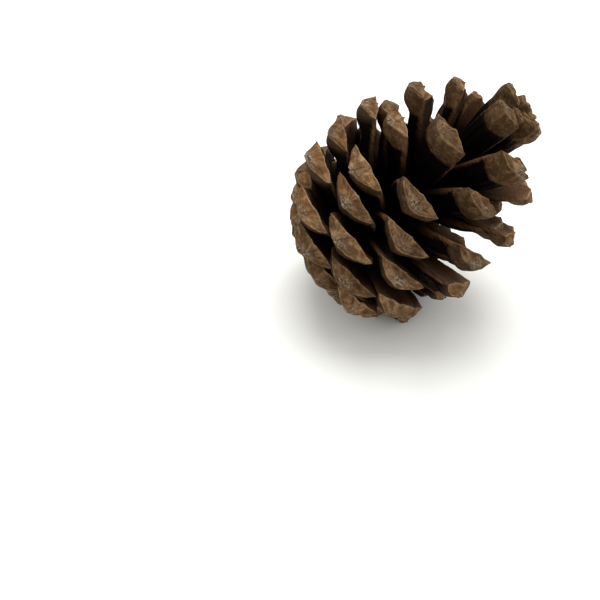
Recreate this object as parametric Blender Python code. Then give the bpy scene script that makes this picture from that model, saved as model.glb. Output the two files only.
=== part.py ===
"""An open pine cone, lying on its lower scales with its tip raised.

Millimetres in the named dimensions, metres in the mesh. The cone is one woody growth: a central axis, a
closed base of small tight scales round the stalk scar, and open scales that follow one spiral rule.
It is built upright round its own axis and then laid down, with the tip toward +X and the surface at Z = 0.
"""
import math
import random

import bmesh
import bpy
import numpy as np
from mathutils import Matrix, Vector

MM = 0.001

# Spiral: each scale turns by the same angle past the one below it
TURN_PER_SCALE = -136.9
FIRST_TURN = 73.9
SCALE_COUNT = 163
FIRST_OPEN = 64

# Pose: the axis rises from the surface by this angle, and the cone's own zero lies here in the frame
AXIS_RISE = 44.7
ZERO_AT = Vector((-3.75, 4.9, 22.1))
LAID = Matrix.Translation(ZERO_AT) @ Matrix.Rotation(math.radians(90.0 - AXIS_RISE), 4, "Y")

# Resting: scales that end within this height of the surface have dried against it, and are worn flat by
# this depth
SETTLE_BAND = 1.2
FLAT_DEPTH = 0.3
CUT_BLOCK = 90.0

# One row for each stage up the cone, by scale number from the stalk: reach and height of the scale's end,
# radius and height of its root, half width, height of its end face, share of the cone's uneven opening
STAGES = {
    0: (2.0, -19.8, 1.0, -14.0, 1.5, 1.6, 0.1),
    14: (4.6, -19.6, 3.0, -13.4, 2.4, 2.2, 0.15),
    30: (8.6, -18.9, 5.0, -13.0, 3.5, 2.9, 0.2),
    44: (12.4, -17.5, 7.0, -12.6, 4.6, 3.4, 0.3),
    56: (15.3, -15.8, 8.0, -12.1, 5.4, 3.8, 0.45),
    68: (16.9, -12.6, 7.0, -11.5, 6.0, 4.1, 0.6),
    76: (18.1, -10.4, 5.5, -10.9, 6.3, 4.3, 0.75),
    88: (19.7, -7.0, 4.4, -9.3, 6.5, 4.3, 1.0),
    104: (21.0, 1.2, 3.5, -6.2, 6.5, 4.3, 1.0),
    116: (20.0, 9.1, 3.3, -1.8, 6.2, 4.3, 1.0),
    128: (17.5, 17.8, 3.0, 5.8, 5.4, 4.2, 0.9),
    140: (14.6, 27.4, 2.5, 14.0, 4.2, 3.9, 0.6),
    148: (6.2, 34.2, 1.9, 19.5, 3.1, 3.2, 0.35),
    156: (3.0, 36.6, 1.1, 24.5, 2.0, 2.4, 0.15),
    162: (1.2, 37.4, 0.6, 27.5, 1.3, 1.7, 0.0),
}

# The cone opened unevenly: how much further the ends reach toward one side, and how much higher they stand
# toward another
REACH_SWING = 5.7
REACH_SWING_TOWARD = -102.0
HEIGHT_SWING = 1.9
HEIGHT_SWING_TOWARD = 112.0

# Scales that dried out of line, by number: extra turn in degrees, extra height and extra reach of the end
LEANS = {
    70: (-3.0, 0.0, -0.8), 75: (1.0, -1.0, 0.5), 78: (-3.0, 0.5, -0.8), 83: (0.5, -1.0, -0.2),
    88: (3.0, -2.0, -0.3), 91: (-1.0, 0.0, -0.3), 96: (4.0, -1.5, 0.1), 99: (-6.0, 2.0, 0.2),
    101: (-1.0, -2.5, -0.5), 102: (2.0, 3.5, 2.5), 104: (3.5, -1.0, 0.5), 107: (-3.0, 2.5, 0.5),
    109: (-3.5, 0.0, -0.3), 112: (4.0, -1.5, -0.5), 114: (2.0, 0.5, 1.0), 115: (1.5, 4.5, 1.0),
    117: (-1.0, 0.0, -1.0), 119: (0.0, -2.5, 0.0), 120: (8.0, -3.0, 0.0), 122: (-7.5, 4.5, 2.0),
    125: (2.0, 0.5, -0.5), 127: (0.0, 3.5, -2.0), 128: (-1.0, -0.5, -1.5), 130: (-2.5, 5.0, -4.5),
    133: (-2.5, 5.0, -1.5), 135: (11.0, -1.5, 1.5), 136: (-4.0, -1.0, 1.0), 138: (7.0, 7.0, -4.5),
    140: (-1.0, 0.5, 1.5), 141: (0.0, -8.0, -9.5), 142: (-2.0, 1.5, 0.0), 143: (0.0, 1.5, -5.0),
    144: (2.5, -1.5, 2.5), 145: (0.0, 2.0, -3.0), 146: (-16.5, 3.5, 0.5), 147: (3.5, -4.5, 4.5),
    148: (14.0, 2.0, -3.0), 149: (-5.5, 2.5, -0.5), 151: (0.0, 1.5, -2.5),
}
SWAY_TURN = 1.5
SWAY_END = 0.35
SWAY_SEED = 11

# Scale: a fan-shaped woody plate with a keel beneath, thickened to a rhombic end face with a raised umbo
CURL = 10.0
TWIST = 3.2
ROOT_HALF_WIDTH = 2.3
ROOT_WIDTH_SHARE = 0.5
ROOT_SUNK = 0.75
BODY_TOP = 0.8
BODY_BOTTOM = 2.1
# Cross-sections: place along the scale, share of the widening reached, share of the thickness reached
SECTIONS = ((0.0, 0.0, 0.9), (0.4, 0.72, 1.15), (0.8, 1.0, 1.4))
# End face: its corners stand back, its upper edge is nearly straight, and below the umbo it falls back
CORNER_BACK = 0.9
EDGE_FORWARD = 0.3
EDGE_UP = 0.07
FACE_BOTTOM = 0.95
BOTTOM_BACK = 2.1
UMBO_DOWN = 0.58
UMBO_HALF_WIDTH = 2.2
UMBO_HALF_HEIGHT = 0.9
UMBO_FOOT = 0.2
UMBO_PEAK = 0.4

# Central axis: radius at each height, flared into the woody base
AXIS_PROFILE = (
    (0.0, -20.3), (1.7, -20.3), (1.9, -18.2), (8.0, -16.6), (12.0, -14.6), (13.5, -12.6), (10.0, -10.6),
    (6.0, -8.6), (4.2, -5.0), (3.7, 4.0), (3.2, 12.0), (2.5, 20.0), (2.0, 28.0), (1.7, 34.0), (1.1, 36.3),
    (0.0, 37.0),
)
AXIS_SIDES = 12
WELD_DISTANCE = 0.001

WOOD_COLOUR = (0.17, 0.095, 0.05, 1.0)
WOOD_ROUGHNESS = 0.7


def stage(number, column):
    """Value of one STAGES column at a scale number, on a smooth curve through the rows."""
    knots = np.array(list(STAGES), float)
    values = np.array([row[column] for row in STAGES.values()])
    slopes = np.gradient(values, knots)
    i = int(np.clip(np.searchsorted(knots, number, side="right") - 1, 0, len(knots) - 2))
    span = knots[i + 1] - knots[i]
    t = (number - knots[i]) / span
    start = (1 + 2 * t) * (1 - t) ** 2 * values[i] + t * (1 - t) ** 2 * span * slopes[i]
    end = t * t * (3 - 2 * t) * values[i + 1] + t * t * (t - 1) * span * slopes[i + 1]
    return float(start + end)


def scale_frame(number, sway):
    """Where one scale stands: its root, its end, and the turn of the upright plane that holds both."""
    reach, height, root_radius, root_height = (stage(number, column) for column in range(4))
    share = stage(number, 6)
    turn = FIRST_TURN + TURN_PER_SCALE * number
    extra_turn, extra_height, extra_reach = LEANS.get(number, sway)
    reach += share * REACH_SWING * math.cos(math.radians(turn - REACH_SWING_TOWARD)) + extra_reach
    height += share * HEIGHT_SWING * math.cos(math.radians(turn - HEIGHT_SWING_TOWARD)) + extra_height
    return Vector((root_radius * ROOT_SUNK, root_height)), Vector((reach, height)), turn + extra_turn


def scale_shape(number, root, end):
    """Four-cornered rings from root to end face, the ring round the umbo, and the umbo's peak.

    Every point is given along the scale's upright plane, across it, and up.
    """
    half_width = stage(number, 4)
    face = stage(number, 5)
    size = face / max(row[5] for row in STAGES.values())
    chord = end - root
    lean = chord.normalized()
    curl = math.radians(CURL) if number >= FIRST_OPEN else 0.0
    bend = (root + end) / 2 - Vector((-lean.y, lean.x)) * (chord.length / 2 * math.tan(curl))

    def point(u, forward, across, up):
        twist = math.radians(TWIST * u)
        sideways = across * math.cos(twist) - up * math.sin(twist)
        upright = across * math.sin(twist) + up * math.cos(twist)
        along = ((bend - root) * (1 - u) + (end - bend) * u).normalized()
        spot = root * (1 - u) ** 2 + bend * (2 * u * (1 - u)) + end * u * u
        spot += along * forward + Vector((-along.y, along.x)) * upright
        return Vector((spot.x, sideways, spot.y))

    root_half = min(ROOT_HALF_WIDTH, half_width * ROOT_WIDTH_SHARE)
    rings = []
    for u, widening, thickness in SECTIONS if number >= FIRST_OPEN else SECTIONS[:1]:
        half = root_half + (half_width - root_half) * widening
        top = BODY_TOP * thickness * size
        bottom = BODY_BOTTOM * thickness * size
        corners = ((half, 0), (0, top), (-half, 0), (0, -bottom))
        rings.append([point(u, 0, across, up) for across, up in corners])

    rings.append([
        point(1, -CORNER_BACK * size, half_width, 0),
        point(1, EDGE_FORWARD * size, 0, EDGE_UP * face),
        point(1, -CORNER_BACK * size, -half_width, 0),
        point(1, -BOTTOM_BACK * size, 0, -FACE_BOTTOM * face),
    ])
    middle = -UMBO_DOWN * face
    foot = UMBO_FOOT * size
    wide = UMBO_HALF_WIDTH * size
    tall = UMBO_HALF_HEIGHT * size
    umbo = [point(1, foot, wide, middle), point(1, foot, 0, middle + tall),
            point(1, foot, -wide, middle), point(1, foot, 0, middle - tall)]
    return rings, umbo, point(1, foot + UMBO_PEAK * size, 0, middle)


def settled(number, root, end, turn):
    """The end drawn in or let out where the scale lies low, so that its lowest corner meets the surface."""
    rings, umbo, peak = scale_shape(number, root, end)
    spin = LAID @ Matrix.Rotation(math.radians(turn), 4, "Z")
    lowest = min((spin @ spot).z for spot in rings[-1] + umbo + [peak])
    if lowest > SETTLE_BAND:
        return end
    drop = math.cos(math.radians(AXIS_RISE)) * math.cos(math.radians(turn))
    return Vector((end.x + (lowest + FLAT_DEPTH) / drop, end.y))


def scale_object(number, sway):
    """One scale as a closed loft, in its place on the laid cone."""
    root, end, turn = scale_frame(number, sway)
    rings, umbo, peak = scale_shape(number, root, settled(number, root, end, turn))
    spin = LAID @ Matrix.Rotation(math.radians(turn), 4, "Z")
    mesh = bmesh.new()
    summit = mesh.verts.new(spin @ peak * MM)
    if number >= FIRST_OPEN:
        rings.append(umbo)
    placed = [[mesh.verts.new(spin @ spot * MM) for spot in ring] for ring in rings]
    mesh.faces.new(reversed(placed[0]))
    for near, far in zip(placed, placed[1:]):
        for i in range(4):
            mesh.faces.new((near[i - 1], near[i], far[i], far[i - 1]))
    for i in range(4):
        mesh.faces.new((placed[-1][i - 1], placed[-1][i], summit))
    bmesh.ops.triangulate(mesh, faces=mesh.faces)
    bmesh.ops.recalc_face_normals(mesh, faces=mesh.faces)
    return mesh_object(f"scale_{number:03d}", mesh)


def mesh_object(name, mesh):
    data = bpy.data.meshes.new(name)
    mesh.to_mesh(data)
    mesh.free()
    return bpy.data.objects.new(name, data)


def central_axis():
    """The turned core that every scale grows from."""
    mesh = bmesh.new()
    spots = [mesh.verts.new((radius, 0.0, height)) for radius, height in AXIS_PROFILE]
    edges = [mesh.edges.new(pair) for pair in zip(spots, spots[1:])]
    bmesh.ops.spin(mesh, geom=spots + edges, cent=(0, 0, 0), axis=(0, 0, 1), angle=math.tau,
                   steps=AXIS_SIDES, use_merge=True)
    bmesh.ops.remove_doubles(mesh, verts=mesh.verts, dist=WELD_DISTANCE)
    bmesh.ops.transform(mesh, matrix=Matrix.Scale(MM, 4) @ LAID, verts=mesh.verts)
    bmesh.ops.recalc_face_normals(mesh, faces=mesh.faces)
    return mesh_object("pine_cone", mesh)


def apply_modifiers(target):
    evaluated = target.evaluated_get(bpy.context.evaluated_depsgraph_get())
    data = bpy.data.meshes.new_from_object(evaluated)
    target.modifiers.clear()
    target.data = data


def fuse(target, pieces):
    """Join the pieces to what they grow from, as one skin."""
    union = target.modifiers.new("grown_together", "BOOLEAN")
    union.operation = "UNION"
    union.operand_type = "COLLECTION"
    union.collection = pieces
    union.solver = "MANIFOLD"
    apply_modifiers(target)
    for piece in list(pieces.objects):
        bpy.data.objects.remove(piece)


def wear_flat(target):
    """Take off what lies below the surface, which leaves small flat spots on the lowest scales."""
    block = bmesh.new()
    bmesh.ops.create_cube(block, size=CUT_BLOCK * MM)
    bmesh.ops.translate(block, verts=block.verts, vec=(0, 0, -CUT_BLOCK / 2 * MM))
    below = mesh_object("below_surface", block)
    bpy.context.scene.collection.objects.link(below)
    cut = target.modifiers.new("flat_spots", "BOOLEAN")
    cut.operation = "DIFFERENCE"
    cut.object = below
    cut.solver = "MANIFOLD"
    apply_modifiers(target)
    bpy.data.objects.remove(below)


def keep_outer_skin(target):
    """Drop loose scraps and fill sealed hollows: only the largest skin stays."""
    mesh = bmesh.new()
    mesh.from_mesh(target.data)
    unseen = set(mesh.verts)
    skins = []
    while unseen:
        skin = {unseen.pop()}
        rim = set(skin)
        while rim:
            linked = {edge.other_vert(vert) for vert in rim for edge in vert.link_edges}
            rim = linked & unseen
            unseen -= rim
            skin |= rim
        skins.append(skin)
    largest = max(skins, key=len)
    scraps = [vert for skin in skins if skin is not largest for vert in skin]
    bmesh.ops.delete(mesh, geom=scraps, context="VERTS")
    mesh.to_mesh(target.data)
    mesh.free()


def dry_wood():
    material = bpy.data.materials.new("dry_cone_wood")
    material.use_nodes = True
    shader = material.node_tree.nodes["Principled BSDF"]
    shader.inputs["Base Color"].default_value = WOOD_COLOUR
    shader.inputs["Roughness"].default_value = WOOD_ROUGHNESS
    shader.inputs["Metallic"].default_value = 0.0
    return material


def main():
    for item in list(bpy.data.objects):
        bpy.data.objects.remove(item)
    home = bpy.data.collections.new("pine_cone_parts")
    bpy.context.scene.collection.children.link(home)
    scales = bpy.data.collections.new("scales")
    bpy.context.scene.collection.children.link(scales)
    chance = random.Random(SWAY_SEED)
    for number in range(SCALE_COUNT):
        sway = (chance.uniform(-SWAY_TURN, SWAY_TURN), chance.uniform(-SWAY_END, SWAY_END), 0.0)
        scales.objects.link(scale_object(number, sway))
    cone = central_axis()
    home.objects.link(cone)
    fuse(cone, scales)
    bpy.data.collections.remove(scales)
    wear_flat(cone)
    keep_outer_skin(cone)
    cone.data.materials.clear()
    cone.data.materials.append(dry_wood())


main()
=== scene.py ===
"""Looks of an open, dry pine cone: each scale as a finely shaped woody plate, on a pale floor.

Sizes are in millimetres unless they say otherwise. The fine shape's sizes are for the largest end face, and
shrink with it on the smaller scales.
"""
import math
import random

import bpy
import numpy as np
from mathutils import Matrix, Vector, noise


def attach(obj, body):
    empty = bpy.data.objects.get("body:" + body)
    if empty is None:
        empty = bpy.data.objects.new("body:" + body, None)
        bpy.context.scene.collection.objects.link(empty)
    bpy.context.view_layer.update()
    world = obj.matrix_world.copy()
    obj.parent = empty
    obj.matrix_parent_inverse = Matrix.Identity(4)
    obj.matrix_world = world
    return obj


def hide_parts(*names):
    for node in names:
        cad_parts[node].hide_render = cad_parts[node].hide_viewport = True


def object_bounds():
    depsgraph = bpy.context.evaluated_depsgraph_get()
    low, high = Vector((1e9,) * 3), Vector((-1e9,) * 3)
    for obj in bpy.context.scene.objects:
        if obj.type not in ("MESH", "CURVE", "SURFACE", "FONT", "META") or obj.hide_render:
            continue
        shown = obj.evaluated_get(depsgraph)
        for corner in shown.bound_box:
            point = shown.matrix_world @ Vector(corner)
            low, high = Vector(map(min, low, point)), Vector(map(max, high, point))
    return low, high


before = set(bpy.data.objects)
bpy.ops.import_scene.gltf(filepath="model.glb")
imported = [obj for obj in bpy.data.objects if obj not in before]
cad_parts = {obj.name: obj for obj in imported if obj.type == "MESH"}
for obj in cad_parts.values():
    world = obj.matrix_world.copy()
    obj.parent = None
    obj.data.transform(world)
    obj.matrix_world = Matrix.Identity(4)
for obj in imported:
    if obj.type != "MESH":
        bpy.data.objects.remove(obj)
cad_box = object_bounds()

MM = 0.001

# The cone's own rule and sizes, as its solid has them
TURN_PER_SCALE = -136.9
FIRST_TURN = 73.9
SCALE_COUNT = 163
FIRST_OPEN = 64
AXIS_RISE = 44.7
ZERO_AT = Vector((-3.75, 4.9, 22.1))
LAID = Matrix.Translation(ZERO_AT) @ Matrix.Rotation(math.radians(90.0 - AXIS_RISE), 4, "Y")
SETTLE_BAND = 1.2
FLAT_DEPTH = 0.3

# Scale number: reach and height of its end, radius and height of its root, half width, height of its end
# face, share of the cone's uneven opening
STAGES = {
    0: (2.0, -19.8, 1.0, -14.0, 1.5, 1.6, 0.1),
    14: (4.6, -19.6, 3.0, -13.4, 2.4, 2.2, 0.15),
    30: (8.6, -18.9, 5.0, -13.0, 3.5, 2.9, 0.2),
    44: (12.4, -17.5, 7.0, -12.6, 4.6, 3.4, 0.3),
    56: (15.3, -15.8, 8.0, -12.1, 5.4, 3.8, 0.45),
    68: (16.9, -12.6, 7.0, -11.5, 6.0, 4.1, 0.6),
    76: (18.1, -10.4, 5.5, -10.9, 6.3, 4.3, 0.75),
    88: (19.7, -7.0, 4.4, -9.3, 6.5, 4.3, 1.0),
    104: (21.0, 1.2, 3.5, -6.2, 6.5, 4.3, 1.0),
    116: (20.0, 9.1, 3.3, -1.8, 6.2, 4.3, 1.0),
    128: (17.5, 17.8, 3.0, 5.8, 5.4, 4.2, 0.9),
    140: (14.6, 27.4, 2.5, 14.0, 4.2, 3.9, 0.6),
    148: (6.2, 34.2, 1.9, 19.5, 3.1, 3.2, 0.35),
    156: (3.0, 36.6, 1.1, 24.5, 2.0, 2.4, 0.15),
    162: (1.2, 37.4, 0.6, 27.5, 1.3, 1.7, 0.0),
}

# The cone opened unevenly: how much further the ends reach toward one side, and how much higher they stand
# toward another
REACH_SWING = 5.7
REACH_SWING_TOWARD = -102.0
HEIGHT_SWING = 1.9
HEIGHT_SWING_TOWARD = 112.0

# Scales that dried out of line, by number: extra turn in degrees, extra height and extra reach of the end
LEANS = {
    70: (-3.0, 0.0, -0.8), 75: (1.0, -1.0, 0.5), 78: (-3.0, 0.5, -0.8), 83: (0.5, -1.0, -0.2),
    88: (3.0, -2.0, -0.3), 91: (-1.0, 0.0, -0.3), 96: (4.0, -1.5, 0.1), 99: (-6.0, 2.0, 0.2),
    101: (-1.0, -2.5, -0.5), 102: (2.0, 3.5, 2.5), 104: (3.5, -1.0, 0.5), 107: (-3.0, 2.5, 0.5),
    109: (-3.5, 0.0, -0.3), 112: (4.0, -1.5, -0.5), 114: (2.0, 0.5, 1.0), 115: (1.5, 4.5, 1.0),
    117: (-1.0, 0.0, -1.0), 119: (0.0, -2.5, 0.0), 120: (8.0, -3.0, 0.0), 122: (-7.5, 4.5, 2.0),
    125: (2.0, 0.5, -0.5), 127: (0.0, 3.5, -2.0), 128: (-1.0, -0.5, -1.5), 130: (-2.5, 5.0, -4.5),
    133: (-2.5, 5.0, -1.5), 135: (11.0, -1.5, 1.5), 136: (-4.0, -1.0, 1.0), 138: (7.0, 7.0, -4.5),
    140: (-1.0, 0.5, 1.5), 141: (0.0, -8.0, -9.5), 142: (-2.0, 1.5, 0.0), 143: (0.0, 1.5, -5.0),
    144: (2.5, -1.5, 2.5), 145: (0.0, 2.0, -3.0), 146: (-16.5, 3.5, 0.5), 147: (3.5, -4.5, 4.5),
    148: (14.0, 2.0, -3.0), 149: (-5.5, 2.5, -0.5), 151: (0.0, 1.5, -2.5),
}
SWAY_TURN = 1.5
SWAY_END = 0.35
SWAY_SEED = 11

CURL = 10.0
TWIST = 3.2
ROOT_HALF_WIDTH = 2.3
ROOT_WIDTH_SHARE = 0.5
ROOT_SUNK = 0.75
BODY_TOP = 0.8
BODY_BOTTOM = 2.1
CORNER_BACK = 0.9
EDGE_FORWARD = 0.3
EDGE_UP = 0.07
FACE_BOTTOM = 0.95
BOTTOM_BACK = 2.1
UMBO_DOWN = 0.58
UMBO_HALF_WIDTH = 2.2
UMBO_HALF_HEIGHT = 0.9
UMBO_FOOT = 0.2
UMBO_PEAK = 0.4
AXIS_PROFILE = (
    (0.0, -20.3), (1.7, -20.3), (1.9, -18.2), (8.0, -16.6), (12.0, -14.6), (13.5, -12.6), (10.0, -10.6),
    (6.0, -8.6), (4.2, -5.0), (3.7, 4.0), (3.2, 12.0), (2.5, 20.0), (2.0, 28.0), (1.7, 34.0), (1.1, 36.3),
    (0.0, 37.0),
)

# Points round a small base scale and round a full one, and the scale number that divides them
AROUND_SMALL = 40
AROUND_FULL = 72
FIRST_FULL = 45

# Rings of points, as shares of the way from root to lip, from lip to crest and from crest to umbo, and of
# the umbo's own size. On the body they stand closer toward the lip.
BODY_RINGS = tuple(0.985 * (i / 18) ** 0.85 for i in range(19)) + (0.993, 1.0)
LOWER_FACET_RINGS = (0.05, 0.3, 0.65, 0.93, 1.0)
UPPER_FACET_RINGS = (0.06, 0.16, 0.32, 0.5, 0.68, 0.84, 0.95, 1.0)
UMBO_RINGS = (0.92, 0.78, 0.6, 0.42, 0.24, 0.08)
LIP_RING = len(BODY_RINGS) - 1
CREST_RING = LIP_RING + len(LOWER_FACET_RINGS)
UMBO_RING = CREST_RING + len(UPPER_FACET_RINGS)
RING_COUNT = UMBO_RING + 1 + len(UMBO_RINGS)
BODY = slice(0, LIP_RING + 1)
TURNED_DOWN = slice(LIP_RING - 3, CREST_RING - 1)
CREST = slice(CREST_RING - 1, CREST_RING + 1)

# Each scale has its own unevenness, and is wider or narrower than the rule by up to this share
SHAPE_SEED = 4
WIDTH_SPREAD = 0.04

# Body: how soon and how evenly it widens, how thick it is at the root and how much it gains, and how round
# its sides and its upper side are. The upper side is dished toward the head.
FAN_DONE = 0.9
FAN_CURVE = 0.9
ROOT_THICKNESS = 0.9
THICKNESS_GAIN = 0.625
SIDE_ROUND = 0.9
TOP_ROUND = 0.8
DISH = 1.25
DISH_FROM = 0.35
DISH_FULL = 0.8

# Two hollows on the upper side, where the seeds lay: depth, and middle and half size across and along
SEED_HOLLOW = 0.45
SEED_ACROSS = (0.42, 0.22)
SEED_ALONG = (0.4, 0.25)

# Under side: a broad swell with a narrow ridge down its middle, a groove and a rib on either side, and a
# neck behind the head
SWELL = 0.82
SWELL_ROUND = 0.8
RIDGE = 0.18
RIDGE_ACROSS = (0.0, 0.24)
RIB = 0.22
RIB_ACROSS = (0.5, 0.1)
GROOVE_ACROSS = (0.28, 0.1)
NECK = 0.48
NECK_ALONG = (0.83, 0.09)

# Where the body starts to swell into the head, above and below
HEAD_FROM_ABOVE = 0.86
HEAD_FROM_BELOW = 0.68

# Lip, where body and end face meet: how pointed its corners are above and below, how calm its waves are
# there, and the beak in its middle
LIP_FORWARD = -0.1
LIP_POINTED_ABOVE = 1.9
LIP_POINTED_BELOW = 1.4
LIP_CALM_CORNERS = 0.5
BEAK = 0.35
BEAK_WIDTH = 0.9

# Crest between the broad upper facet and the lower one: its place, how pointed and bent it is, how far its
# corners stand back and out, how far below the umbo it stays, and how much it follows an umbo out of place
CREST_DOWN = 0.76
CREST_FORWARD = 0.45
CREST_POINTED = 1.5
CREST_BEND = 1.3
CREST_CORNER_BACK = 0.95
CREST_CORNER_OUT = 0.96
CREST_BELOW_UMBO = 0.45
CREST_ROUND = 1.35
CREST_PULL = 0.6
CREST_PULL_ROUND = 3
CREST_ABOVE = 0.04
CREST_ABOVE_GAIN = 0.3

# Swell of the lower facet, its share along the upper edge, and the crown of the upper facet
LOWER_SWELL = 0.12
LOWER_SWELL_ABOVE = 0.2
CROWN = 0.16
CROWN_TOWARD_CREST = 0.8

# Umbo: a small rhombic boss on the upper facet, with a step at its rim and a blunt peak
BOSS_DOWN = 0.58
BOSS_DRIFT = 0.5
BOSS_HALF_WIDTH = 1.5
BOSS_HALF_HEIGHT = 0.8
BOSS_POINTED = 1.15
BOSS_STEP = 0.22
BOSS_STEP_TO = 0.72
BOSS_PEAK = 0.5
BOSS_PEAK_FROM = 0.45

# Umbos that grew out of place, by scale number: across the face and up it
UMBO_PLACES = {
    96: (-1.1, -1.9), 99: (-1.6, -3.0), 104: (-1.7, -2.5), 107: (0.8, -2.8), 109: (-0.2, -2.0),
    112: (0.0, -2.9), 115: (1.8, -2.8), 117: (-0.3, -2.3), 120: (-0.5, -3.3), 125: (0.0, -2.4),
    128: (1.2, -3.0), 133: (-0.5, -2.4), 136: (1.4, -2.6), 144: (1.2, -2.1),
}

# Uneven edges of dry wood: depth, and the fewest and most waves round the scale
LIP_DEPTH_WAVES = (0.1, 3, 14)
LIP_HEIGHT_WAVES = (0.08, 4, 16)
UMBO_WAVES = (0.09, 3, 12)
CREST_WAVES = (0.09, 3, 14)
BODY_WAVES = (0.07, 5, 15)
HEAD_WAVES = (0.05, 5, 15)
WAVE_SHARES = (0.4, 1.0)

# Uneven skin of dry wood: spacing and height, with its share of the height at the root
SKIN_GRAINS = ((3.2, 0.2), (1.1, 0.08), (0.45, 0.035))
SKIN_AT_ROOT = 0.3

# Strands of the end face fan out from the umbo: how closely they stand, and the radius of the heart where
# they run together. Each scale's wood starts at a place of its own within this reach.
STRAND_FAN = 2.5
STRAND_HEART = 0.7
GRAIN_STARTS = 400

# On the under side of the upper scales the brown of the head reaches back by this much in place of the
# black painted shade, and the painted shade where the wood turns down is lighter by this share. It begins
# at the first scale number and is full at the second. Its border fades between two shares of the way to the
# lip.
HEAD_BACK = 3.4
HEAD_LIGHTER = 0.4
HEAD_BACK_FROM = (112, 132)
HEAD_BORDER = (0.96, 1.01)
# Where the head's brown reaches back under the scale, it takes this share of the painted shade where the
# wood turns down
HEAD_SHADE = 0.9
LAST_RING_ON_FACE = 0.6

# From the first of these scale numbers to the second, scales opened more and more to the light. The tighter
# ones below are painted darker by this share, as shade. The under side's dark wood is painted black with
# shade, which starts at the edge, and on open scales fades in over a wider stretch.
OPENED = (98, 122)
DEEP_SHADE = 0.24
UNDER_FROM = 0.03
UNDER_FULL = 0.2
UNDER_FADE = 0.4

# Worn pale edges, by rings past the lip, and the same on the crest. Grey of the umbo, by rings past its
# rim, and how grey umbos are from the least to the most.
LIP_WEAR = {-2: 0.15, -1: 0.7, 0: 1.0, 1: 0.9, 2: 0.15}
CREST_WEAR = 0.6
UMBO_GREY = {-3: 0.15, -2: 0.4, -1: 0.75}
UMBO_GREY_SHARES = (0.4, 1.0)

# Central axis: rings, and depth, waves round it and turn of each set of knots
AXIS_RINGS = 60
AXIS_LEAST_RADIUS = 0.02
AXIS_KNOTS = ((0.05, 8, 1.1), (0.04, 13, -0.9))

# Pieces of the visual model: name, first scale number, number after the last
GROUPS = (
    ("base_scales", 0, 45),
    ("lower_scales", 45, 72),
    ("middle_scales", 72, 96),
    ("upper_scales", 96, 118),
    ("shoulder_scales", 118, 140),
    ("tip_scales", 140, SCALE_COUNT),
)

# Patterns in the wood. Its real fibres are about 0.1 mm apart, too fine to show, so they are drawn coarser:
# 22 to the centimetre, ten times as long as they are apart. Grit is 21 to the centimetre.
FIBRE_SPACING = 10 / 22
FIBRE_LENGTH = FIBRE_SPACING * 10
GRIT_SIZE = 10 / 21
PATCH_SIZE = 2.0
WARM_PATCH_SIZE = GRIT_SIZE * 10
RELIEF_DEPTH = 0.2

# Camera: turn and rise in degrees, place from the cone's zero along its own right, up and back, and field
CAMERA_AZIMUTH = 1.82
CAMERA_ELEVATION = 45.0
CAMERA_FROM_ZERO = (-21.4, -22.2, 156.6)
CAMERA_FIELD = 49.03
CAMERA_NEAREST = 5.0

# Light and floor
ROOM_BRIGHTNESS = 0.9
CEILING_LAMP_AT = (0, 120, 400)
CEILING_LAMP_TOWARD = (0, 0, 15)
CEILING_LAMP_SIZE = 300
CEILING_LAMP_WATTS = 1.5
FLOOR_REACH = 1500

# Sockets of Blender's Mix node when it mixes colours
MIX_FACTOR = 0
MIX_BELOW = 6
MIX_ABOVE = 7
MIX_RESULT = 2


def stage(number, column):
    """Value of one STAGES column at a scale number, on a smooth curve through the rows."""
    knots = np.array(list(STAGES), float)
    values = np.array([row[column] for row in STAGES.values()])
    slopes = np.gradient(values, knots)
    i = int(np.clip(np.searchsorted(knots, number, side="right") - 1, 0, len(knots) - 2))
    span = knots[i + 1] - knots[i]
    t = (number - knots[i]) / span
    start = (1 + 2 * t) * (1 - t) ** 2 * values[i] + t * (1 - t) ** 2 * span * slopes[i]
    end = t * t * (3 - 2 * t) * values[i + 1] + t * t * (t - 1) * span * slopes[i + 1]
    return float(start + end)


def scale_frame(number, sway):
    """Where one scale stands: its root, its end, and the turn of the upright plane that holds both."""
    reach, height, root_radius, root_height = (stage(number, column) for column in range(4))
    share = stage(number, 6)
    turn = FIRST_TURN + TURN_PER_SCALE * number
    extra_turn, extra_height, extra_reach = LEANS.get(number, sway)
    reach += share * REACH_SWING * math.cos(math.radians(turn - REACH_SWING_TOWARD)) + extra_reach
    height += share * HEIGHT_SWING * math.cos(math.radians(turn - HEIGHT_SWING_TOWARD)) + extra_height
    return np.array((root_radius * ROOT_SUNK, root_height)), np.array((reach, height)), turn + extra_turn


def smooth(low, high, value):
    """0 below low, 1 above high, and an even curve between them."""
    t = np.clip((value - low) / (high - low), 0.0, 1.0)
    return t * t * (3 - 2 * t)


def bell(value, middle, half_size):
    """1 at the middle, falling away evenly on both sides."""
    return np.exp(-((value - middle) / half_size) ** 2)


def pointed(wave, power):
    """A sine or cosine made more pointed, or rounder where the power is under 1."""
    return np.sign(wave) * np.abs(wave) ** power


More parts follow.
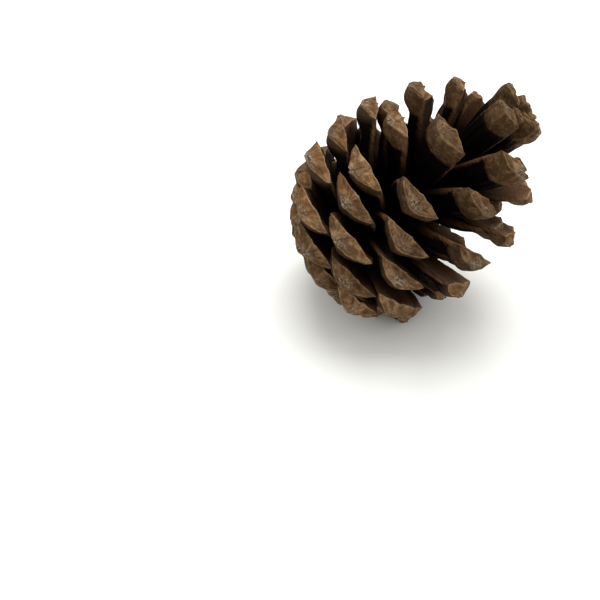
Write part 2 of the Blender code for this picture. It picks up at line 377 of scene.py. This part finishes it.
class Scale:
    """One scale: its centre line, and the points of its skin as rings from root to umbo."""

    def __init__(self, number, sway, chance):
        self.number = number
        self.half_width = stage(number, 4)
        self.face = stage(number, 5)
        self.size = self.face / max(row[5] for row in STAGES.values())
        self.root, self.end, self.turn = scale_frame(number, sway)
        self.end = self.settled()
        self.length = np.linalg.norm(self.end - self.root)
        self.chance = chance

    def point(self, u, forward, across, up):
        """Points in the scale's upright plane, from places along the centre line and offsets from it."""
        places = np.broadcast_arrays(*(np.asarray(place, float) for place in (u, forward, across, up)))
        u, forward, across, up = (place[..., None] for place in places)
        twist = np.radians(TWIST) * u
        sideways = across * np.cos(twist) - up * np.sin(twist)
        upright = across * np.sin(twist) + up * np.cos(twist)
        chord = self.end - self.root
        lean = chord / np.linalg.norm(chord)
        curl = math.radians(CURL) if self.number >= FIRST_OPEN else 0.0
        sag = np.linalg.norm(chord) / 2 * math.tan(curl)
        bend = (self.root + self.end) / 2 - np.array((-lean[1], lean[0])) * sag
        along = (bend - self.root) * (1 - u) + (self.end - bend) * u
        along = along / np.linalg.norm(along, axis=-1, keepdims=True)
        square_to_it = np.concatenate((-along[..., 1:], along[..., :1]), -1)
        spot = self.root * (1 - u) ** 2 + bend * (2 * u * (1 - u)) + self.end * u * u
        spot = spot + along * forward + square_to_it * upright
        return np.concatenate((spot[..., :1], sideways, spot[..., 1:]), -1)

    def laid(self, points):
        """Points of the upright plane's frame, in the part's frame."""
        spin = np.array(LAID @ Matrix.Rotation(math.radians(self.turn), 4, "Z"))
        return points @ spin[:3, :3].T + spin[:3, 3]

    def settled(self):
        """The end, drawn in or let out on a low scale so that its lowest corner meets the floor."""
        size, face = self.size, self.face
        middle = -UMBO_DOWN * face
        foot = UMBO_FOOT * size
        wide = UMBO_HALF_WIDTH * size
        tall = UMBO_HALF_HEIGHT * size
        corners = np.array((
            (-CORNER_BACK * size, self.half_width, 0), (EDGE_FORWARD * size, 0, EDGE_UP * face),
            (-CORNER_BACK * size, -self.half_width, 0), (-BOTTOM_BACK * size, 0, -FACE_BOTTOM * face),
            (foot, wide, middle), (foot, 0, middle + tall), (foot, -wide, middle), (foot, 0, middle - tall),
            (foot + UMBO_PEAK * size, 0, middle),
        ))
        lowest = self.laid(self.point(1.0, *corners.T))[:, 2].min()
        if lowest > SETTLE_BAND:
            return self.end
        drop = math.cos(math.radians(AXIS_RISE)) * math.cos(math.radians(self.turn))
        return self.end + np.array(((lowest + FLAT_DEPTH) / drop, 0.0))

    def wobble(self, angle, waves):
        """A smooth uneven line round the scale, from a few waves of its own."""
        depth, fewest, most = waves
        total = np.zeros_like(angle)
        for count in range(fewest, most):
            wave = np.sin(count * angle + self.chance.uniform(0, math.tau))
            total += wave * self.chance.uniform(*WAVE_SHARES) / count
        return total * depth * self.size * fewest

    def lip(self, angle):
        """The outline where body and end face meet, as forward, across and up.

        It is nearly straight above and full below.
        """
        cos, sin = np.cos(angle), np.sin(angle)
        upper = sin >= 0
        power = np.where(upper, LIP_POINTED_ABOVE, LIP_POINTED_BELOW)
        side = np.abs(cos) ** power
        across = np.sign(cos) * side * self.half_width
        up = np.where(upper, EDGE_UP, -FACE_BOTTOM) * self.face * np.abs(sin) ** power
        middle = np.where(upper, LIP_FORWARD, -BOTTOM_BACK)
        forward = (middle + (-CORNER_BACK - middle) * side) * self.size
        forward = forward + BEAK * self.size * bell(across, 0.0, BEAK_WIDTH * self.size) * upper
        forward = forward + self.wobble(angle, LIP_DEPTH_WAVES)
        up = up + self.wobble(angle, LIP_HEIGHT_WAVES) * np.abs(sin) ** LIP_CALM_CORNERS
        return np.stack((forward, across, up))

    def boss(self, angle):
        """The umbo's rim on the face, and its middle."""
        drift = (self.chance.uniform(-BOSS_DRIFT, BOSS_DRIFT) * self.size, -BOSS_DOWN * self.face)
        shift, down = UMBO_PLACES.get(self.number, drift)
        across = shift + BOSS_HALF_WIDTH * self.size * pointed(np.cos(angle), BOSS_POINTED)
        up = down + BOSS_HALF_HEIGHT * self.size * pointed(np.sin(angle), BOSS_POINTED)
        centre = np.array((CREST_FORWARD * self.size, shift, down))
        rim = np.stack((np.full_like(angle, centre[0]), across, up))
        return rim + self.wobble(angle, UMBO_WAVES), centre

    def crest(self, angle, lip, rim, centre):
        """The line between the broad upper facet of the face and the lower one, which falls back."""
        cos, sin = np.cos(angle), np.sin(angle)
        side = np.abs(cos) ** CREST_POINTED
        fall = CREST_FORWARD + CORNER_BACK * CREST_CORNER_BACK
        forward = (CREST_FORWARD - fall * side ** CREST_BEND) * self.size
        depth = max(CREST_DOWN * self.face, CREST_BELOW_UMBO * self.size - centre[2])
        up = -depth * np.abs(sin) ** CREST_ROUND
        across = np.sign(cos) * side * self.half_width * CREST_CORNER_OUT
        across = across + centre[1] * CREST_PULL * np.abs(sin) ** CREST_PULL_ROUND
        lower = np.stack((forward, across, up)) + self.wobble(angle, CREST_WAVES)
        share = CREST_ABOVE + CREST_ABOVE_GAIN * np.abs(sin)
        return np.where(sin >= 0, lip * (1 - share) + rim * share, lower)

    def body(self, angle, lip):
        """Rings from root to lip: a dished upper side with seed hollows, a keeled under side with ribs."""
        cos, sin = np.cos(angle), np.sin(angle)
        upper = sin >= 0
        v = np.array(BODY_RINGS)[:, None]
        root_half = min(ROOT_HALF_WIDTH, self.half_width * ROOT_WIDTH_SHARE)
        fan = np.sin(math.pi / 2 * np.minimum(v / FAN_DONE, 1.0) ** FAN_CURVE)
        half = root_half + (self.half_width - root_half) * fan
        thick = (ROOT_THICKNESS + THICKNESS_GAIN * v) * self.size
        across = half * pointed(cos, SIDE_ROUND)
        c = across / half
        between_ends = np.sin(math.pi * v)

        seeds = SEED_HOLLOW * bell(np.abs(c), *SEED_ACROSS) * bell(v, *SEED_ALONG)
        dish = 1.0 - DISH * smooth(DISH_FROM, DISH_FULL, v) * (1 - c * c)
        top = BODY_TOP * thick * np.abs(sin) ** TOP_ROUND * dish - seeds * self.size
        keel = SWELL * np.abs(sin) ** SWELL_ROUND + RIDGE * bell(c, *RIDGE_ACROSS)
        ribs = bell(np.abs(c), *RIB_ACROSS) - bell(np.abs(c), *GROOVE_ACROSS)
        ribs = RIB * self.size * ribs * between_ends
        neck = 1 - NECK * bell(v, *NECK_ALONG)
        up = np.where(upper, top, -BODY_BOTTOM * thick * keel * neck - ribs)
        up = up + (self.wobble(angle, BODY_WAVES) * between_ends + self.wobble(angle, HEAD_WAVES) * v)

        head = np.where(upper, smooth(HEAD_FROM_ABOVE, 1.0, v), smooth(HEAD_FROM_BELOW, 1.0, v))
        across = across * (1 - head) + lip[1] * head
        up = up * (1 - head) + lip[2] * head
        return self.point(v * (1 + lip[0] / self.length), 0.0, across, up), v

    def end_face(self, upper, lip, crest, rim, centre):
        """Rings from lip to crest, from crest to umbo and over the umbo, as forward, across and up."""
        t = np.array(LOWER_FACET_RINGS)[:, None, None]
        lower = lip * (1 - t) + crest * t
        swell = np.where(upper, LOWER_SWELL_ABOVE, 1.0) * LOWER_SWELL * self.size
        lower[:, 0] += swell * np.sin(math.pi * t[:, 0])
        s = np.array(UPPER_FACET_RINGS)[:, None, None]
        facet = crest * (1 - s) + rim * s
        facet[:, 0] += CROWN * self.size * np.sin(math.pi * s[:, 0] ** CROWN_TOWARD_CREST)
        r = np.array(UMBO_RINGS)[:, None, None]
        knob = centre[:, None] + (rim - centre[:, None]) * r
        height = BOSS_STEP * smooth(1.0, BOSS_STEP_TO, r[:, 0])
        height += (BOSS_PEAK - BOSS_STEP) * smooth(BOSS_PEAK_FROM, 0.0, r[:, 0])
        knob[:, 0] = rim[0] + self.size * height
        return np.concatenate((lower, facet, knob))

    def rings(self):
        """Every ring's points in the part's frame, and the marks that the wood is coloured by."""
        around = AROUND_FULL if self.number >= FIRST_FULL else AROUND_SMALL
        angle = np.arange(around) * math.tau / around
        upper = np.sin(angle) >= 0
        self.half_width *= 1 + self.chance.uniform(-WIDTH_SPREAD, WIDTH_SPREAD)
        lip = self.lip(angle)
        rim, centre = self.boss(angle)
        crest = self.crest(angle, lip, rim, centre)
        body, v = self.body(angle, lip)
        offsets = self.end_face(upper, lip, crest, rim, centre)
        points = np.concatenate((body, self.point(1.0, *offsets.transpose(1, 0, 2))))

        along = np.ones((RING_COUNT, around))
        along[BODY] = v
        umbo_grey = self.chance.uniform(*UMBO_GREY_SHARES)
        start = np.array([self.chance.uniform(0, GRAIN_STARTS) for _ in range(3)])
        tone = self.chance.random()
        grain, strand = self.wood_grain(points, along, offsets.transpose(0, 2, 1) - centre, start)
        marks = self.colour_marks(upper, angle, along, umbo_grey, tone)
        marks.update(grain=grain, strand=strand)
        return self.laid(points + self.skin(grain, along)), marks

    def wood_grain(self, points, along, from_umbo, start):
        """Places in the wood along the scale and across it, and for strands that fan from the umbo."""
        grain = points.copy()
        grain[BODY, :, 0] = along[BODY] * self.length
        grain[LIP_RING + 1:, :, 0] += self.length - points[LIP_RING, :, 0]
        distance = np.linalg.norm(from_umbo, axis=-1, keepdims=True)
        ray = from_umbo[..., 1:] / (distance + STRAND_HEART) * STRAND_FAN
        strand = grain.copy()
        strand[LIP_RING + 1:] = np.concatenate((distance, ray), -1)
        return grain + start, strand + start

    def colour_marks(self, upper, angle, along, umbo_grey, tone):
        """Where the wood is painted with shade, under, on the end face, worn, grey or turned down into
        painted shade, for each point.
        """
        knobbed = float(smooth(*HEAD_BACK_FROM, self.number))
        opened = float(smooth(*OPENED, self.number))
        back = HEAD_BACK * knobbed / self.length
        head_from, head_full = HEAD_BORDER
        head = smooth(head_from - back, head_full - back, along[BODY]) * np.where(upper, 0.0, 1.0)

        on_face = np.zeros_like(along)
        on_face[LIP_RING:] = 1.0
        on_face[LIP_RING - 1] = LAST_RING_ON_FACE
        on_face[BODY] = np.maximum(on_face[BODY], head)
        # The under side, where its dark wood is painted black as shade, from the edge inward
        edge_fade = smooth(UNDER_FROM, UNDER_FULL + UNDER_FADE * opened, np.abs(np.sin(angle)))
        under = np.where(upper, 0.0, edge_fade) * np.ones_like(along)
        # Painted shade on the lower facet and the body's end where they turn down, and where the head's
        # brown reaches back; lighter on the upper scales
        down = np.zeros_like(along)
        down[TURNED_DOWN] = np.where(upper, 0.0, 1.0)
        down[BODY] = np.maximum(down[BODY], head * HEAD_SHADE)
        down *= 1 - HEAD_LIGHTER * knobbed

        worn = np.zeros_like(along)
        for step, share in LIP_WEAR.items():
            worn[LIP_RING + step] = np.where(upper, share, 0.0)
        worn[CREST] += np.where(upper, 0.0, CREST_WEAR)
        grey = np.zeros_like(along)
        for step, share in UMBO_GREY.items():
            grey[UMBO_RING + step] = share
        grey[UMBO_RING:] = 1.0
        return {
            # Along the scale, lowered on the tight scales as painted shade; the under side; the end face
            "zones": np.stack((along - DEEP_SHADE * (1 - opened), under, on_face), -1),
            "wear": np.stack((worn, grey * umbo_grey, np.full_like(along, tone)), -1),
            "down": down,
        }

    def skin(self, grain, along):
        """Small unevenness of dry wood, which grows toward the end of the scale."""
        total = np.zeros_like(grain)
        for spacing, height in SKIN_GRAINS:
            waves = [noise.noise_vector(spot) for spot in (grain / spacing).reshape(-1, 3)]
            total += np.array(waves).reshape(grain.shape) * height
        return total * self.size * (SKIN_AT_ROOT + (1 - SKIN_AT_ROOT) * along[..., None] ** 2)


def closed_rings(rings, around):
    """Four-cornered faces that join rings of points to a skin, as corner numbers."""
    row = np.arange(around)
    after = (row + 1) % around
    first = np.arange(rings - 1)[:, None] * around
    second = first + around
    return np.stack((first + row, first + after, second + after, second + row), -1).reshape(-1, 4)


def end_caps(rings, around, start=0):
    """The faces that close the first and the last ring, as corner numbers."""
    first = np.arange(around) + start
    return [first[::-1].tolist(), (first + (rings - 1) * around).tolist()]


def inside(points):
    """Points held inside the solid's box, which also flattens what would pass through the surface."""
    low, high = (np.array(corner) / MM for corner in cad_box)
    return np.clip(points, low, high)


def new_piece(name, points, quads, caps, marks):
    """A mesh object from points, four-cornered faces and end caps, with the marks for its colours."""
    data = bpy.data.meshes.new(name)
    data.from_pydata((inside(points) * MM).tolist(), [], quads.tolist() + caps)
    data.shade_smooth()
    for mark, values in marks.items():
        vectors = values.ndim == 2
        layer = data.attributes.new(mark, "FLOAT_VECTOR" if vectors else "FLOAT", "POINT")
        layer.data.foreach_set("vector" if vectors else "value", values.astype(np.float32).ravel())
    data.update()
    piece = bpy.data.objects.new(name, data)
    bpy.context.scene.collection.objects.link(piece)
    return piece


def scale_group(name, scales):
    """One piece of the visual model: a run of scales."""
    points, quads, caps, marks = [], [], [], []
    start = 0
    for scale in scales:
        spots, scale_marks = scale.rings()
        rings, around = spots.shape[:2]
        quads.append(closed_rings(rings, around) + start)
        caps += end_caps(rings, around, start)
        points.append(spots.reshape(-1, 3))
        marks.append({mark: values.reshape(rings * around, *values.shape[2:])
                      for mark, values in scale_marks.items()})
        start += rings * around
    joined = {mark: np.concatenate([each[mark] for each in marks]) for mark in marks[0]}
    return new_piece(name, np.concatenate(points), np.concatenate(quads), caps, joined)


def central_axis():
    """The rough core between the scales' roots, painted black as shade."""
    profile = np.array(AXIS_PROFILE)
    steps = np.linspace(0, len(profile) - 1, AXIS_RINGS)
    radius, height = (np.interp(steps, np.arange(len(profile)), column)[:, None] for column in profile.T)
    angle = np.arange(AROUND_FULL) * math.tau / AROUND_FULL
    uneven = 1 + sum(depth * np.sin(waves * angle + height * turn) for depth, waves, turn in AXIS_KNOTS)
    r = np.maximum(radius, AXIS_LEAST_RADIUS) * uneven
    points = np.stack((r * np.cos(angle), r * np.sin(angle), height * np.ones(AROUND_FULL)), -1)
    spin = np.array(LAID)
    flat = (points @ spin[:3, :3].T + spin[:3, 3]).reshape(-1, 3)
    # Every mark at nought gives the core the plate's colour at the root: black painted shade
    dark = np.zeros_like(flat)
    marks = {"zones": dark, "wear": dark, "down": dark[:, 0], "grain": flat, "strand": flat[:, ::-1]}
    quads = closed_rings(AXIS_RINGS, AROUND_FULL)
    return new_piece("core_axis", flat, quads, end_caps(AXIS_RINGS, AROUND_FULL), marks)


def srgb(code):
    """Linear colour from an sRGB hex value."""
    parts = [int(code[i:i + 2], 16) / 255 for i in (1, 3, 5)]
    return tuple(p / 12.92 if p <= 0.04045 else ((p + 0.055) / 1.055) ** 2.4 for p in parts) + (1.0,)


def add(tree, kind, inputs, stops=(), **settings):
    """Add one node with its settings. An input given as a socket is linked, and any other is set.

    Stops are the places and hex colours of a colour ramp.
    """
    node = tree.nodes.new(kind)
    for name, value in settings.items():
        setattr(node, name, value)
    for name, value in inputs.items():
        if isinstance(value, bpy.types.NodeSocket):
            tree.links.new(value, node.inputs[name])
        else:
            node.inputs[name].default_value = value
    for place, _ in stops[2:]:
        node.color_ramp.elements.new(place)
    for i, (place, code) in enumerate(stops):
        node.color_ramp.elements[i].position = place
        node.color_ramp.elements[i].color = srgb(code)
    return node


def lay_over(tree, below, above, mark, low=0.0, high=1.0, most=1.0, how="MIX"):
    """One colour over another: none where a mark is at low, and its most where the mark is at high."""
    share = add(tree, "ShaderNodeMapRange", {
        "Value": mark, "From Min": low, "From Max": high, "To Max": most}).outputs["Result"]
    mixed = add(tree, "ShaderNodeMix", {MIX_FACTOR: share, MIX_BELOW: below, MIX_ABOVE: above},
                data_type="RGBA", blend_type=how)
    return mixed.outputs[MIX_RESULT]


def wood_patterns(tree, grain_at, strand_at):
    """Patterns in the wood: its fibres, dull patches, warm patches and grit."""
    fibre_steps = (1 / FIBRE_LENGTH, 1 / FIBRE_SPACING, 1 / FIBRE_SPACING)
    fibre_at = add(tree, "ShaderNodeVectorMath", {0: strand_at, 1: fibre_steps}, operation="MULTIPLY")
    fibres = add(tree, "ShaderNodeTexNoise", {
        "Vector": fibre_at.outputs["Vector"], "Scale": 1.0, "Detail": 4.0, "Roughness": 0.6})
    patches = add(tree, "ShaderNodeTexNoise", {
        "Vector": grain_at, "Scale": 1 / PATCH_SIZE, "Detail": 5.0, "Roughness": 0.68})
    grit = add(tree, "ShaderNodeTexNoise", {
        "Vector": grain_at, "Scale": 1 / GRIT_SIZE, "Detail": 5.0, "Roughness": 0.7})
    warm = add(tree, "ShaderNodeTexNoise", {
        "Vector": grain_at, "Scale": 1 / WARM_PATCH_SIZE, "Detail": 2.0})
    warm = add(tree, "ShaderNodeSeparateColor", {"Color": warm.outputs["Color"]})
    return fibres.outputs["Fac"], patches.outputs["Fac"], warm.outputs["Green"], grit.outputs["Fac"]


def plate_colour(tree, along, under, fibres):
    """The plate: brown toward its end on top and painted dark with shade toward the root, beneath its dark
    wood painted black with shade, with every border frayed along the fibres.
    """
    fray = add(tree, "ShaderNodeMapRange", {
        "Value": fibres, "From Min": 0.3, "From Max": 0.7, "To Min": -0.09, "To Max": 0.09})
    reach = add(tree, "ShaderNodeMath", {0: fray.outputs["Result"], 1: along}, operation="ADD").outputs[0]
    # On top, painted shade darkens the brown to black toward the root
    upper_side = add(tree, "ShaderNodeValToRGB", {"Fac": reach}, stops=(
        (0.28, "#090402"), (0.48, "#28170c"), (0.7, "#523823"), (0.97, "#74573b")))
    # Beneath, painted shade turns the dark wood black
    under_side = add(tree, "ShaderNodeValToRGB", {"Fac": reach}, stops=(
        (0.5, "#020100"), (0.88, "#070302"), (1.0, "#150b05")))
    streaks = add(tree, "ShaderNodeMapRange", {
        "Value": fibres, "From Min": 0.4, "From Max": 0.6, "To Min": -0.4, "To Max": 0.3})
    dark_wood_and_shade_under = add(tree, "ShaderNodeMath", {0: under, 1: 1.6, 2: streaks.outputs["Result"]},
                    operation="MULTIPLY_ADD", use_clamp=True)
    plate = lay_over(tree, upper_side.outputs["Color"], under_side.outputs["Color"], dark_wood_and_shade_under.outputs[0])
    return lay_over(tree, plate, srgb("#8c6c55"), fibres, 0.42, 0.68, 0.75, "MULTIPLY")


def end_face_colour(tree, fibres, patches, warm, grit, turned_down_shade, grey):
    """The end face: brown patches with dark and pale strands and dark grit, with painted shade where it
    turns down.

    On the umbo lies a grey crust, with pale specks painted on as glints off dried resin.
    """
    dull = add(tree, "ShaderNodeMapRange", {"Value": patches, "From Min": 0.33, "From Max": 0.67})
    face = add(tree, "ShaderNodeValToRGB", {"Fac": dull.outputs["Result"]}, stops=(
        (0.0, "#483320"), (0.5, "#644a30"), (1.0, "#8f7250"))).outputs["Color"]
    face = lay_over(tree, face, srgb("#704524"), warm, 0.5, 0.68, 0.5)
    face = lay_over(tree, face, srgb("#38240f"), fibres, 0.5, 0.72, 0.7)
    face = lay_over(tree, face, srgb("#a0835f"), fibres, 0.46, 0.28, 0.5)
    face = lay_over(tree, face, srgb("#2e1d10"), grit, 0.55, 0.68, 0.6)
    # Painted shade where the face turns down
    face = lay_over(tree, face, srgb("#24190c"), turned_down_shade, most=0.85)
    # Grey umbo crust, its palest specks painted glints
    crust_and_glints = add(tree, "ShaderNodeValToRGB", {"Fac": grit}, stops=(
        (0.36, "#3f3022"), (0.48, "#6b5945"), (0.57, "#8f7f69"), (0.66, "#d6ccbd")))
    return lay_over(tree, face, crust_and_glints.outputs["Color"], grey, most=0.8)


def dry_cone_wood():
    """Dry conifer wood, grown rough and then weathered.

    It gives the eye dull brown end faces with strands out from a grey, crusted umbo with painted glints,
    painted shade where the faces turn down, paler worn edges, and plates that are brown on top, painted
    black with shade beneath and painted dark with shade toward the root. It hardly shines.
    """
    material = bpy.data.materials.new("dry_cone_wood")
    material.use_nodes = True
    tree = material.node_tree
    shader = tree.nodes["Principled BSDF"]
    marks = {mark: add(tree, "ShaderNodeAttribute", {}, attribute_name=mark).outputs
             for mark in ("grain", "strand", "zones", "wear", "down")}
    zones = add(tree, "ShaderNodeSeparateXYZ", {"Vector": marks["zones"]["Vector"]})
    wear = add(tree, "ShaderNodeSeparateXYZ", {"Vector": marks["wear"]["Vector"]})
    along, under, on_face = zones.outputs
    worn, grey, tone = wear.outputs

    fibres, patches, warm, grit = wood_patterns(tree, marks["grain"]["Vector"], marks["strand"]["Vector"])
    plate = plate_colour(tree, along, under, fibres)
    face = end_face_colour(tree, fibres, patches, warm, grit, marks["down"]["Fac"], grey)
    colour = lay_over(tree, plate, face, on_face)

    # Edges rubbed pale, less so where the grit is dark, and each scale darker or lighter than the next
    rubbed = add(tree, "ShaderNodeMapRange", {
        "Value": grit, "From Min": 0.62, "From Max": 0.4, "To Min": 0.25, "To Max": 0.75})
    edge = add(tree, "ShaderNodeMath", {0: worn, 1: rubbed.outputs["Result"]}, operation="MULTIPLY")
    colour = lay_over(tree, colour, srgb("#b09570"), edge.outputs[0])
    brightness = add(tree, "ShaderNodeMapRange", {"Value": tone, "To Min": 0.72, "To Max": 1.22})
    shaded = add(tree, "ShaderNodeVectorMath", {0: colour, "Scale": brightness.outputs["Result"]},
                 operation="SCALE")
    tree.links.new(shaded.outputs["Vector"], shader.inputs["Base Color"])

    # Matt, and rough with fibres and grit
    roughness = add(tree, "ShaderNodeMapRange", {
        "Value": grit, "From Min": 0.3, "From Max": 0.7, "To Min": 0.5, "To Max": 0.8})
    tree.links.new(roughness.outputs["Result"], shader.inputs["Roughness"])
    relief = add(tree, "ShaderNodeMath", {0: fibres, 1: 0.6, 2: grit}, operation="MULTIPLY_ADD")
    bump = add(tree, "ShaderNodeBump", {
        "Height": relief.outputs[0], "Strength": 0.8, "Distance": RELIEF_DEPTH * MM})
    tree.links.new(bump.outputs["Normal"], shader.inputs["Normal"])
    shader.inputs["IOR"].default_value = 1.45
    shader.inputs["Specular IOR Level"].default_value = 0.05
    return material


def pale_floor():
    """A matt white painted surface, which lets only the soft shadow show."""
    material = bpy.data.materials.new("white_studio_surface")
    material.use_nodes = True
    shader = material.node_tree.nodes["Principled BSDF"]
    shader.inputs["Base Color"].default_value = srgb("#f1f1ec")
    shader.inputs["Roughness"].default_value = 0.9
    data = bpy.data.meshes.new("floor")
    reach = FLOOR_REACH * MM
    corners = [(-reach, -reach, 0), (reach, -reach, 0), (reach, reach, 0), (-reach, reach, 0)]
    data.from_pydata(corners, [], [(0, 1, 2, 3)])
    floor = bpy.data.objects.new("floor", data)
    bpy.context.scene.collection.objects.link(floor)
    data.materials.append(material)


def camera():
    """The photograph's camera, by its place from the cone's zero along its own axes."""
    azimuth = math.radians(CAMERA_AZIMUTH)
    elevation = math.radians(CAMERA_ELEVATION)
    level = math.cos(elevation)
    right = Vector((math.cos(azimuth), math.sin(azimuth), 0.0))
    back = Vector((math.sin(azimuth) * level, -math.cos(azimuth) * level, math.sin(elevation)))
    up = back.cross(right)
    across, rise, away = CAMERA_FROM_ZERO
    data = bpy.data.cameras.new("camera")
    data.angle = math.radians(CAMERA_FIELD)
    data.clip_start = CAMERA_NEAREST * MM
    item = bpy.data.objects.new("camera", data)
    place = (ZERO_AT + right * across + up * rise + back * away) * MM
    item.matrix_world = Matrix.Translation(place) @ Matrix((right, up, back)).transposed().to_4x4()
    bpy.context.scene.collection.objects.link(item)
    bpy.context.scene.camera = item


def light():
    """A white room all round, and a wide soft lamp high behind the cone."""
    world = bpy.data.worlds.new("soft_room")
    world.use_nodes = True
    room = world.node_tree.nodes["Background"]
    room.inputs["Color"].default_value = srgb("#ffffff")
    room.inputs["Strength"].default_value = ROOM_BRIGHTNESS
    bpy.context.scene.world = world
    data = bpy.data.lights.new("ceiling", "AREA")
    data.size = CEILING_LAMP_SIZE * MM
    data.energy = CEILING_LAMP_WATTS
    lamp = bpy.data.objects.new("ceiling", data)
    lamp.location = Vector(CEILING_LAMP_AT) * MM
    aim = Vector(CEILING_LAMP_TOWARD) - Vector(CEILING_LAMP_AT)
    lamp.rotation_euler = aim.to_track_quat("-Z", "Y").to_euler()
    bpy.context.scene.collection.objects.link(lamp)
    bpy.context.scene.view_settings.view_transform = "Standard"


def main():
    sway_chance = random.Random(SWAY_SEED)
    shape_chance = random.Random(SHAPE_SEED)
    noise.seed_set(SHAPE_SEED)
    scales = []
    for number in range(SCALE_COUNT):
        sway = (sway_chance.uniform(-SWAY_TURN, SWAY_TURN), sway_chance.uniform(-SWAY_END, SWAY_END), 0.0)
        scales.append(Scale(number, sway, shape_chance))
    wood = dry_cone_wood()
    pieces = [scale_group(name, scales[first:last]) for name, first, last in GROUPS]
    pieces.append(central_axis())
    for piece in pieces:
        piece.data.materials.append(wood)
        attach(piece, "root")
        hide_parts("pine_cone")
    pale_floor()
    camera()
    light()


main()
